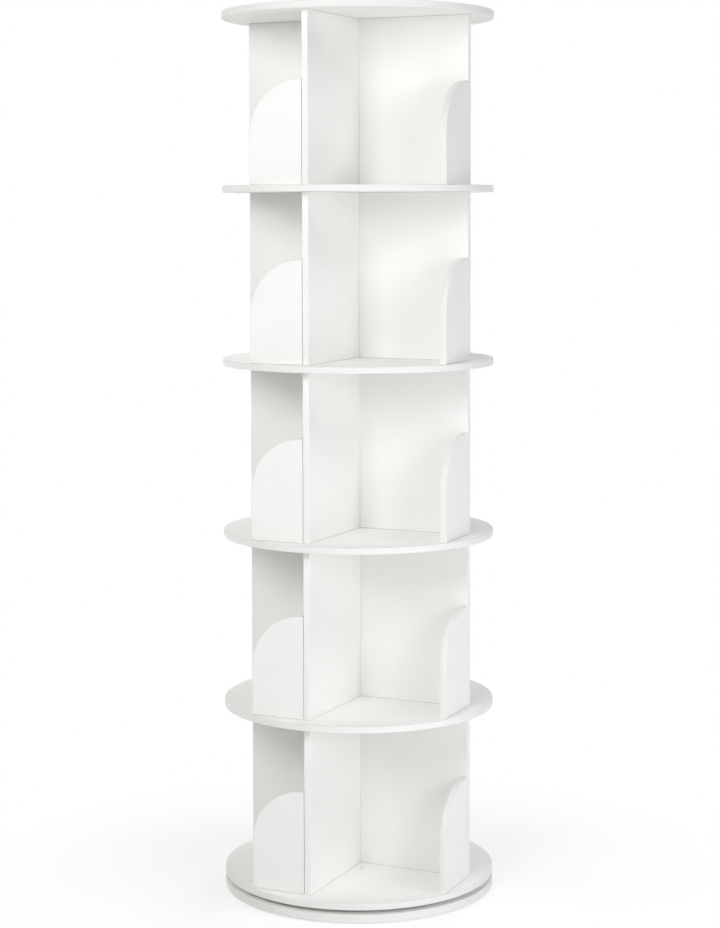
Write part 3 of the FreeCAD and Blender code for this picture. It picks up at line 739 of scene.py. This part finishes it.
@dataclass
class EndStops:
    """Arched stops at the ends of the crossed boards, each a chipboard core in a bent edge band.

    Attributes:
        flat_mm: Level run at the top, beside the board.
        band_mm: Thickness of the band.
        band_round_mm: Rounding of the band's outer edges.
        seam_mm: Glue line between core and band.
        edge_break_mm: Chamfer of the lower edges, which stand on the shelf.
        arch_steps: Straight runs in the arch.
        round_steps: Straight runs in the band's rounding.
    """

    flat_mm: float = 4.0
    band_mm: float = 1.4
    band_round_mm: float = 1.0
    seam_mm: float = 0.08
    edge_break_mm: float = 0.5
    arch_steps: int = 40
    round_steps: int = 4

    def arch(self, shape: ShapeTree, inset: Any, foot: Any, closed: bool) -> Node:
        """Outline of a stop, or only its banded edge.

        Args:
            shape: Tree that gets it.
            inset: Distance inside the outer edge.
            foot: Height of the lower edge.
            closed: Whether the near and lower edges are part of it.

        Returns:
            Node that gives the curve, across from the board and up from the shelf.
        """
        top, far = (
            shape.add("ShaderNodeMath", {0: shape.size[reach], 1: inset}, operation="SUBTRACT")
            for reach in ("height", "width")
        )
        radius = shape.add("ShaderNodeMath", {0: far, 1: shape.size["flat"]}, operation="SUBTRACT")
        corners = [(0.0, top, 0.0), (far, top, radius), (far, foot, 0.0)]
        if closed:
            corners.append((0.0, foot, 0.0))
        return shape.outline(corners, closed, self.arch_steps)

    def core(self, shape: ShapeTree) -> Node:
        """Board inside the band, with its two lower edges broken.

        Args:
            shape: Tree that gets it.

        Returns:
            Node that gives a closed mesh.
        """
        chamfer = shape.size["edge_break"]
        inset = shape.add("ShaderNodeMath", {0: shape.size["band"], 1: shape.size["seam"]}, operation="ADD")
        arch = self.arch(shape, inset, chamfer, True)
        sheet = shape.add("GeometryNodeFillCurve", {"Curve": arch}, mode="NGONS")
        place = shape.add("GeometryNodeInputPosition")
        height = shape.add("ShaderNodeSeparateXYZ", {0: place}).outputs["Y"]
        # The corners at the foot lie one chamfer up, all others far above.
        limit = shape.add("ShaderNodeMath", {0: chamfer, 1: 1.5}, operation="MULTIPLY")
        at_foot = shape.add("FunctionNodeCompare", {
            "A": height, "B": limit,
        }, data_type="FLOAT", operation="LESS_THAN")
        # The layer between the two chamfers.
        straight = shape.add("ShaderNodeMath", {
            0: chamfer, 1: -2.0, 2: shape.size["thickness"],
        }, operation="MULTIPLY_ADD")
        inwards = shape.add("ShaderNodeCombineXYZ", {"Z": 1.0})
        grown, newest = sheet, True
        for depth, sign in ((chamfer, -1.0), (straight, 0.0), (chamfer, 1.0)):
            layer = shape.add("GeometryNodeExtrudeMesh", {
                "Mesh": grown, "Selection": newest, "Offset": inwards, "Offset Scale": depth,
            }, mode="FACES").outputs
            newest = layer["Top"]
            lower = shape.add("FunctionNodeBooleanMath", {0: newest, 1: at_foot}, operation="AND")
            rise = shape.add("ShaderNodeMath", {0: chamfer, 1: sign}, operation="MULTIPLY")
            grown = shape.add("GeometryNodeSetPosition", {
                "Geometry": layer["Mesh"], "Selection": lower,
                "Offset": shape.add("ShaderNodeCombineXYZ", {"Y": rise}),
            })
        front = shape.add("GeometryNodeFlipFaces", {"Mesh": sheet})
        whole = shape.add("GeometryNodeJoinGeometry", {"Geometry": [grown, front]})
        return shape.add("GeometryNodeMergeByDistance", {"Geometry": whole, "Distance": WELD})

    def band(self, shape: ShapeTree) -> Node:
        """Strip bent over the arch and down the far edge.

        Args:
            shape: Tree that gets it.

        Returns:
            Node that gives a closed mesh.
        """
        deep, soft = shape.size["band"], shape.size["band_round"]
        wide = shape.add("ShaderNodeMath", {0: shape.size["thickness"], 1: -1.0}, operation="MULTIPLY")
        corners = [(0.0, 0.0, soft), (0.0, wide, soft), (deep, wide, 0.0), (deep, 0.0, 0.0)]
        section = shape.outline(corners, True, self.round_steps)
        return shape.sweep(self.arch(shape, 0.0, 0.0, False), section, True)

    def tree(self) -> ShapeTree:
        """Build the tree of one stop.

        Returns:
            The tree.
        """
        shape = ShapeTree(
            "Arched end stop", ("width", "height", "thickness", "front", "near", "floor", "turn"),
            flat=self.flat_mm, band=self.band_mm, band_round=self.band_round_mm, seam=self.seam_mm,
            edge_break=self.edge_break_mm,
        )
        size = shape.size
        both = shape.add("GeometryNodeJoinGeometry", {"Geometry": [
            shape.add("GeometryNodeStoreNamedAttribute", {
                "Geometry": part, "Name": "band", "Value": is_band,
            }, data_type="BOOLEAN", domain="FACE")
            for part, is_band in ((self.core(shape), False), (self.band(shape), True))
        ]})
        # Across goes away from the board, along goes up, and the thickness goes inwards from the front.
        axes = Matrix(((0, 0, -1), (-1, 0, 0), (0, 1, 0))).to_euler()
        stood = shape.add("GeometryNodeTransform", {
            "Geometry": both, "Rotation": axes,
            "Translation": shape.add("ShaderNodeCombineXYZ", {"X": size["front"], "Y": size["near"]}),
        })
        turned = shape.add("GeometryNodeTransform", {
            "Geometry": stood, "Rotation": shape.add("ShaderNodeCombineXYZ", {"Z": size["turn"]}),
            "Translation": shape.add("ShaderNodeCombineXYZ", {"Z": size["floor"]}),
        })
        on_band = shape.add("GeometryNodeInputNamedAttribute", {"Name": "band"}, data_type="BOOLEAN")
        facing = shape.add("GeometryNodeInputNormal")
        upright = shape.add("ShaderNodeSeparateXYZ", {0: facing}).outputs["Z"]
        # Faces that look down, with the foot chamfers, get the dark chipboard, which also paints the shade of
        # the contact line on the shelf.
        below = shape.add("FunctionNodeCompare", {
            "A": upright, "B": -LEVEL,
        }, data_type="FLOAT", operation="LESS_THAN")
        shape.output(turned, (PressedMelamine(), True), (CHIPBOARD_AND_CONTACT_SHADE, below), (BENT_BAND, on_band))
        return shape

    def build(self) -> None:
        """Make every stop from the box of its node."""
        shape = self.tree()
        for tier in range(TIERS):
            low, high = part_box(f"tier_{tier + 1}_end_stop_1")
            for arm in range(ARMS):
                name = f"tier_{tier + 1}_end_stop_{arm + 1}"
                piece = shape.bake(f"{name}_banded", {
                    "width": high.y - low.y, "height": high.z - low.z, "thickness": high.x - low.x,
                    "front": high.x, "near": high.y, "floor": low.z, "turn": arm * math.tau / ARMS,
                })
                hand_over(piece, "tower", "white_board", name)


class HeadSide(Enum):
    """Side of a screw that its head is on."""

    ABOVE = "above"
    BELOW = "below"


@dataclass(frozen=True)
class ScrewGroup:
    """Screws of one kind.

    Attributes:
        node: Node that they stand for.
        shank_mm: Diameter of the shank.
        head_mm: Height of the head.
        side: Side that the head is on.
        body: Body that they move with.
        finish: Finish of the screws.
        slot: Material slot of the record.
    """

    node: str
    shank_mm: float
    head_mm: float
    side: HeadSide = HeadSide.ABOVE
    body: str = "tower"
    finish: Finish = ZINC_SCREW
    slot: str = "screw_steel"


@dataclass
class Screws:
    """Every socket screw of the tower.

    Attributes:
        groups: The kinds of screw.
        tip_mm: Length of the point.
        edge_round_mm: Rounding of the head's upper edge.
        socket_mm: Width across flats of the hexagon socket.
        socket_depth_mm: Depth of the socket.
        segments: Straight runs round a screw.
        round_steps: Straight runs in the rounding.
        seed: Seed of the turn of each screw.
    """

    groups: tuple[ScrewGroup, ...] = (
        ScrewGroup("board_screws", 5.0, 3.0),
        ScrewGroup("bottom_board_screws", 5.0, 3.0, HeadSide.BELOW),
        ScrewGroup("stop_screws", 4.0, 2.5, HeadSide.BELOW),
        ScrewGroup("bearing_ring_screws", 4.0, 2.5, body="base"),
        ScrewGroup("bearing_shelf_screws", 5.0, 2.5, finish=LACQUERED_SCREW, slot="screw_lacquer"),
    )
    tip_mm: float = 2.5
    edge_round_mm: float = 0.5
    socket_mm: float = 4.0
    socket_depth_mm: float = 1.5
    segments: int = 32
    round_steps: int = 3
    seed: int = 7

    def tree(self, finish: Finish) -> ShapeTree:
        """Build the tree of the screws with one finish.

        Args:
            finish: Finish of the screws.

        Returns:
            The tree, which starts from the middle of each head's outer face.
        """
        shape = ShapeTree(
            "Socket screws", ("head_radius", "head_height", "shank_radius", "length", "turn_over"),
            tip=self.tip_mm, edge_round=self.edge_round_mm, socket=self.socket_mm,
            socket_depth=self.socket_depth_mm,
        )
        size = shape.size
        tip_start = shape.add("ShaderNodeMath", {0: size["length"], 1: size["tip"]}, operation="SUBTRACT")
        solid = shape.lathe([
            (0.0, 0.0, 0.0),
            (size["head_radius"], 0.0, size["edge_round"]),
            (size["head_radius"], size["head_height"], 0.0),
            (size["shank_radius"], size["head_height"], 0.0),
            (size["shank_radius"], tip_start, 0.0),
            (0.0, size["length"], 0.0),
        ], self.segments, self.round_steps)
        # A hexagon's corners lie farther out than its flats. Half of the key stands above the head.
        corner, depth = (
            shape.add("ShaderNodeMath", {0: size[name], 1: factor}, operation="MULTIPLY")
            for name, factor in (("socket", 1 / math.sqrt(3)), ("socket_depth", 2.0))
        )
        key = shape.add("GeometryNodeMeshCylinder", {"Vertices": 6, "Radius": corner, "Depth": depth})
        drilled = shape.add("GeometryNodeMeshBoolean", {
            "Mesh 1": solid, "Mesh 2": key,
        }, operation="DIFFERENCE")
        spin = shape.add("FunctionNodeRandomValue", {
            "Min": 0.0, "Max": math.tau, "Seed": self.seed,
        }, data_type="FLOAT")
        placed = shape.add("GeometryNodeInstanceOnPoints", {
            "Points": shape.start, "Instance": drilled,
            "Rotation": shape.add("ShaderNodeCombineXYZ", {"X": size["turn_over"], "Z": spin}),
        })
        shape.output(placed, (finish, True))
        return shape

    def build(self) -> None:
        """Make each group from the boxes of its node's solids."""
        trees = {finish: self.tree(finish) for finish in dict.fromkeys(group.finish for group in self.groups)}
        for group in self.groups:
            boxes = solid_boxes(group.node)
            above = group.side is HeadSide.ABOVE
            low, high = boxes[0]
            piece = trees[group.finish].bake(f"{group.node}_socket_head", {
                "head_radius": (high.x - low.x) / 2, "head_height": group.head_mm * MM,
                "shank_radius": group.shank_mm * MM / 2, "length": high.z - low.z,
                "turn_over": 0.0 if above else math.pi,
            }, end_points(boxes, above))
            hand_over(piece, group.body, group.slot, group.node)


@dataclass
class SmallDiscs:
    """Discs of one node, with a rounded edge.

    Attributes:
        title: Name of the tree.
        finish: Finish of the discs.
        node: Node that they stand for.
        body: Body that they move with.
        slot: Material slot of the record.
        upper_round_mm: Rounding of the upper edge.
        lower_round_mm: Rounding of the lower edge.
        segments: Straight runs round a disc.
        round_steps: Straight runs in a rounding.
    """

    title: str
    finish: Finish
    node: str
    body: str
    slot: str
    upper_round_mm: float = 0.0
    lower_round_mm: float = 0.0
    segments: int = 48
    round_steps: int = 4

    def tree(self) -> ShapeTree:
        """Build the tree of the discs.

        Returns:
            The tree, which starts from the middle of each disc's top.
        """
        shape = ShapeTree(self.title, ("radius", "thickness"),
                          upper_round=self.upper_round_mm, lower_round=self.lower_round_mm)
        size = shape.size
        disc = shape.lathe([
            (0.0, 0.0, 0.0),
            (size["radius"], 0.0, size["upper_round"]),
            (size["radius"], size["thickness"], size["lower_round"]),
            (0.0, size["thickness"], 0.0),
        ], self.segments, self.round_steps)
        placed = shape.add("GeometryNodeInstanceOnPoints", {"Points": shape.start, "Instance": disc})
        shape.output(placed, (self.finish, True))
        return shape

    def build(self) -> None:
        """Make the discs from the boxes of their node's solids."""
        boxes = solid_boxes(self.node)
        low, high = boxes[0]
        sizes = {"radius": (high.x - low.x) / 2, "thickness": high.z - low.z}
        piece = self.tree().bake(f"{self.node}_rounded", sizes, end_points(boxes, True))
        hand_over(piece, self.body, self.slot, self.node)


FOOT_PADS = SmallDiscs("Foot pads", FOAM_RUBBER, "foot_pads", "base", "pad_rubber", lower_round_mm=0.6)
SCREW_CAPS = SmallDiscs("Screw caps", MOULDED_CAP, "screw_caps", "tower", "cap_plastic", upper_round_mm=0.4)


@dataclass
class Dowels:
    """Fluted beech dowels between boards, shelves and stops.

    Attributes:
        names: Nodes of the dowels.
        finish: Finish of the dowels.
        flutes: Grooves round a dowel.
        flute_mm: Depth of the grooves.
        chamfer_mm: Chamfer of the ends.
    """

    names: tuple[str, ...] = ("bottom_dowels", "middle_dowels", "top_dowels", "stop_dowels")
    finish: TurnedBeech = TurnedBeech()
    flutes: int = 20
    flute_mm: float = 0.3
    chamfer_mm: float = 0.8

    def tree(self) -> ShapeTree:
        """Build the tree of a group of dowels.

        Returns:
            The tree, which starts from the middle of each dowel and reads its axis.
        """
        shape = ShapeTree("Fluted dowels", ("radius", "length"), flute=self.flute_mm, chamfer=self.chamfer_mm)
        size = shape.size
        groove, slim = (
            shape.add("ShaderNodeMath", {0: size["radius"], 1: size[cut]}, operation="SUBTRACT")
            for cut in ("flute", "chamfer")
        )
        section = shape.add("GeometryNodeCurveStar", {
            "Points": self.flutes, "Inner Radius": groove, "Outer Radius": size["radius"],
        })
        # The rod goes from minus end to end and is full between minus full and full.
        end = shape.add("ShaderNodeMath", {0: size["length"], 1: 0.5}, operation="MULTIPLY")
        full = shape.add("ShaderNodeMath", {0: end, 1: size["chamfer"]}, operation="SUBTRACT")
        opposite = [
            shape.add("ShaderNodeMath", {0: place, 1: -1.0}, operation="MULTIPLY") for place in (end, full)
        ]
        path = shape.outline([(0.0, along, 0.0) for along in (*opposite, full, end)], False, 1)
        taper = shape.add("GeometryNodeSwitch", {
            "Switch": shape.add("GeometryNodeCurveEndpointSelection"), "False": 1.0,
            "True": shape.add("ShaderNodeMath", {0: slim, 1: size["radius"]}, operation="DIVIDE"),
        }, input_type="FLOAT")
        tapered = shape.add("GeometryNodeSetCurveRadius", {"Curve": path, "Radius": taper})
        marked = shape.add("GeometryNodeStoreNamedAttribute", {
            "Geometry": shape.sweep(tapered, section, True), "Name": self.finish.grain_attribute,
            "Value": shape.add("GeometryNodeInputPosition"),
        }, data_type="FLOAT_VECTOR", domain="POINT")
        axis = shape.add("GeometryNodeInputNamedAttribute", {"Name": "axis"}, data_type="FLOAT_VECTOR")
        placed = shape.add("GeometryNodeInstanceOnPoints", {
            "Points": shape.start, "Instance": marked,
            "Rotation": shape.add("FunctionNodeAlignRotationToVector", {"Vector": axis}, axis="Y"),
        })
        shape.output(placed, (self.finish, True))
        return shape

    def build(self) -> None:
        """Make each group from the boxes of its node's solids."""
        shape = self.tree()
        for node in self.names:
            boxes = solid_boxes(node)
            spans = [high - low for low, high in boxes]
            axes = [Vector(float(part == max(span)) for part in span) for span in spans]
            piece = shape.bake(f"{node}_fluted", {"radius": min(spans[0]) / 2, "length": max(spans[0])},
                               [(low + high) / 2 for low, high in boxes], axes)
            hand_over(piece, "tower", "dowel_beech", node)


@dataclass
class Bearing:
    """Flat ball bearing in the gap: lower ring, upper plate, ball row and cage.

    Attributes:
        finishes: Nodes and their finishes.
    """

    finishes: tuple[tuple[str, Finish], ...] = (
        ("bearing_lower_ring", TurnedSteel()),
        ("bearing_upper_plate", TurnedSteel()),
        ("bearing_balls", LAPPED_STEEL),
        ("bearing_cage", MOULDED_NYLON),
    )

    def dress(self) -> None:
        """Give each part of the bearing its finish."""
        for name, finish in self.finishes:
            dress_node(name, finish)


class LampKind(Enum):
    """Kinds of softbox: distance from the axis and length of the sides, in metres."""

    FAR = (2.8, 1.2)
    NEAR = (1.6, 0.8)
    ABOVE = (0.0, 0.6)


class LampTint(Enum):
    """Colours of the softboxes: nearly white, and a shade cooler."""

    PLAIN = "#FEFDFF"
    COOL = "#F8F8FF"


@dataclass(frozen=True)
class Lamp:
    """Soft square lamp that looks at the turning axis.

    Attributes:
        title: Name of the lamp.
        kind: Distance and size.
        azimuth: Direction it stands in, in degrees from the front towards the right.
        height: Metres above the floor.
        aim: Height on the axis that it looks at.
        power: Watts.
        tint: Colour of its light.
        mirrored: Whether glossy faces show it.
    """

    title: str
    kind: LampKind
    azimuth: float
    height: float
    aim: float
    power: float
    tint: LampTint = LampTint.PLAIN
    mirrored: bool = True

    def build(self) -> None:
        """Place the lamp, out of the camera's sight."""
        away, side = self.kind.value
        light = bpy.data.lights.new(self.title, "AREA")
        light.shape = "SQUARE"
        light.size = side
        light.energy = self.power
        light.color = linear(self.tint.value)[:3]
        lamp = bpy.data.objects.new(self.title, light)
        turn = math.radians(self.azimuth)
        lamp.location = (away * math.sin(turn), -away * math.cos(turn), self.height)
        view = Vector((0, 0, self.aim)) - lamp.location
        lamp.rotation_euler = view.to_track_quat("-Z", "Y").to_euler()
        lamp.visible_camera = False
        lamp.visible_glossy = self.mirrored
        bpy.context.scene.collection.objects.link(lamp)
        log.info("placed %s", self.title)


@dataclass
class Studio:
    """White floor and backdrop, and soft lamps.

    Attributes:
        backdrop: Colour of the surroundings.
        floor_radius: Radius of the floor.
        floor_steps: Straight runs round the floor.
        floor_colour: Colour of the floor.
        lift: Light that the floor shows to the camera besides what falls on it.
        clear_least: How far the floor is faded to white where the tower stands.
        clear_from: Distance from the axis where the floor starts to fade further.
        clear_to: Distance where it is white.
        lamps: The lamps.
    """

    backdrop: str = "#FFFFFF"
    floor_radius: float = 9.0
    floor_steps: int = 64
    floor_colour: str = "#F9F9F7"
    lift: float = 0.2
    clear_least: float = 0.5
    clear_from: float = 0.25
    clear_to: float = 0.8
    lamps: tuple[Lamp, ...] = (
        Lamp("Key softbox, front", LampKind.FAR, 0, 2.2, 0.9, 33.0),
        Lamp("Softbox, front left", LampKind.FAR, -45, 2.2, 0.9, 14.8),
        Lamp("Softbox, right", LampKind.FAR, 60, 1.3, 0.9, 21.2, LampTint.COOL),
        Lamp("High softbox, right side", LampKind.FAR, 95, 3.2, 0.9, 28.0, LampTint.COOL),
        Lamp("Low softbox, left side", LampKind.FAR, -100, 0.6, 0.9, 15.0),
        Lamp("Softbox, left back", LampKind.FAR, -140, 2.0, 0.9, 11.0),
        Lamp("Softbox, back", LampKind.FAR, 180, 1.5, 0.9, 32.0, mirrored=False),
        Lamp("Softbox, above", LampKind.ABOVE, 0, 3.0, 1.6, 8.0),
        Lamp("Small softbox, front", LampKind.NEAR, -10, 1.45, 1.45, 3.5),
        Lamp("Small low softbox, front left", LampKind.NEAR, -30, 0.3, 0.3, 0.5),
        Lamp("Small low softbox, right", LampKind.NEAR, 50, 0.3, 0.3, 2.9, LampTint.COOL),
        Lamp("Small low softbox, right side", LampKind.NEAR, 80, 0.3, 0.3, 3.3, LampTint.COOL),
    )

    def build_world(self) -> None:
        """White surroundings to look at, which light nothing."""
        world = bpy.data.worlds.new("White studio")
        nodes = ShaderTree(world)
        light = nodes.add("ShaderNodeBackground", {"Color": linear(self.backdrop), "Strength": nodes.seen()})
        nodes.add("ShaderNodeOutputWorld", {"Surface": light})
        bpy.context.scene.world = world

    def floor_material(self) -> bpy.types.Material:
        """White floor that keeps the tower's shadow and clears to white away from it.

        Returns:
            The material.
        """
        material = bpy.data.materials.new("White studio floor")
        nodes = ShaderTree(material)
        spot = nodes.add("ShaderNodeTexCoord").outputs["Object"]
        away = nodes.add("ShaderNodeVectorMath", {0: spot}, operation="LENGTH")
        clear = nodes.add("ShaderNodeMapRange", {
            "Value": away, "From Min": self.clear_from, "From Max": self.clear_to, "To Min": self.clear_least,
        }, interpolation_type="SMOOTHSTEP")
        seen = nodes.seen()
        lifted, faded = (
            nodes.add("ShaderNodeMath", {0: seen, 1: share}, operation="MULTIPLY")
            for share in (self.lift, clear)
        )
        paper = nodes.add("ShaderNodeBsdfDiffuse", {"Color": linear(self.floor_colour)})
        glow = nodes.add("ShaderNodeEmission", {"Strength": lifted})
        near = nodes.add("ShaderNodeAddShader", {0: paper, 1: glow})
        white = nodes.add("ShaderNodeEmission", {"Strength": 1.0})
        mixed = nodes.add("ShaderNodeMixShader", {0: faded, 1: near, 2: white})
        nodes.add("ShaderNodeOutputMaterial", {"Surface": mixed})
        return material

    def build_floor(self) -> None:
        """Round floor under the tower."""
        mesh = bpy.data.meshes.new("studio_floor")
        steps = range(self.floor_steps)
        turns = [math.tau * step / self.floor_steps for step in steps]
        rim = [Vector((math.cos(turn), math.sin(turn), 0)) * self.floor_radius for turn in turns]
        mesh.from_pydata(rim, [], [tuple(steps)])
        mesh.materials.append(self.floor_material())
        floor = bpy.data.objects.new("studio_floor", mesh)
        bpy.context.scene.collection.objects.link(floor)

    def build(self) -> None:
        """Set up view colours, world, floor and lamps."""
        bpy.context.scene.view_settings.view_transform = "Standard"
        self.build_world()
        self.build_floor()
        for lamp in self.lamps:
            lamp.build()


@dataclass
class PhotoCamera:
    """Camera at the photo's angle.

    Attributes:
        azimuth: Degrees from the front towards the right.
        distance: Metres from the turning axis.
        height: Metres above the floor.
        pitch: Degrees that it looks down.
        roll: Degrees that it leans to the left.
        lens: Focal length in millimetres.
        shift: Frame shift across and up.
    """

    azimuth: float = 24.7
    distance: float = 3.9276
    height: float = 1.2564
    pitch: float = 3.785
    roll: float = -0.114
    lens: float = 82.353
    shift: tuple[float, float] = (0.002, -0.12)

    def build(self) -> None:
        """Make the camera and use it."""
        data = bpy.data.cameras.new("Photo camera")
        data.lens = self.lens
        data.shift_x, data.shift_y = self.shift
        camera = bpy.data.objects.new("Photo camera", data)
        turn = math.radians(self.azimuth)
        camera.location = (self.distance * math.sin(turn), -self.distance * math.cos(turn), self.height)
        aim = Matrix.Rotation(turn, 3, "Z") @ Matrix.Rotation(math.radians(90 - self.pitch), 3, "X")
        camera.rotation_euler = (aim @ Matrix.Rotation(math.radians(self.roll), 3, "Z")).to_euler()
        bpy.context.scene.collection.objects.link(camera)
        bpy.context.scene.camera = camera


def main() -> None:
    """Build and dress the tower, then the studio and the camera."""
    logging.basicConfig(level=logging.INFO, format="%(message)s")
    ROUND_BOARDS.dress()
    CROSS_BOARDS.dress()
    EndStops().build()
    Screws().build()
    FOOT_PADS.build()
    SCREW_CAPS.build()
    Dowels().build()
    Bearing().dress()
    Studio().build()
    PhotoCamera().build()


if __name__ == "__main__":
    main()
